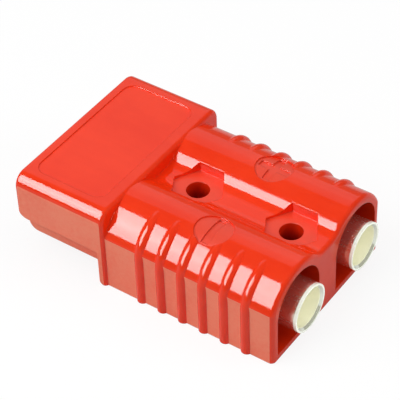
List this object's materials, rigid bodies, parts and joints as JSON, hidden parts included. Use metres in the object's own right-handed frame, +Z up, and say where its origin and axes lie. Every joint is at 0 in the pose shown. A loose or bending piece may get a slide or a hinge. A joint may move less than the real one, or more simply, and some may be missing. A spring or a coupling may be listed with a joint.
{
  "type": "genderless power connector",
  "caption": "Red moulded genderless battery connector with a hood, ribbed arched chambers, nut pockets, and silver-plated crimp contacts for both poles.",
  "frame": {"origin": "middle of the two fixing holes, on the flat base", "axes": "+X towards the cable end, +Y towards the plus pole, +Z up from the base towards the hood's panel"},
  "size_m": [0.088, 0.0558, 0.0266],
  "materials": {
    "red_plastic": "glossy moulded polycarbonate, red",
    "silver_plate": "silver-plated copper, satin",
    "spring_steel": "stainless strip, satin"
  },
  "bodies": {
    "root": {"housing": "red_plastic", "positive_contact": "silver_plate", "negative_contact": "silver_plate", "positive_spring": "spring_steel", "negative_spring": "spring_steel"}
  },
  "joints": []
}
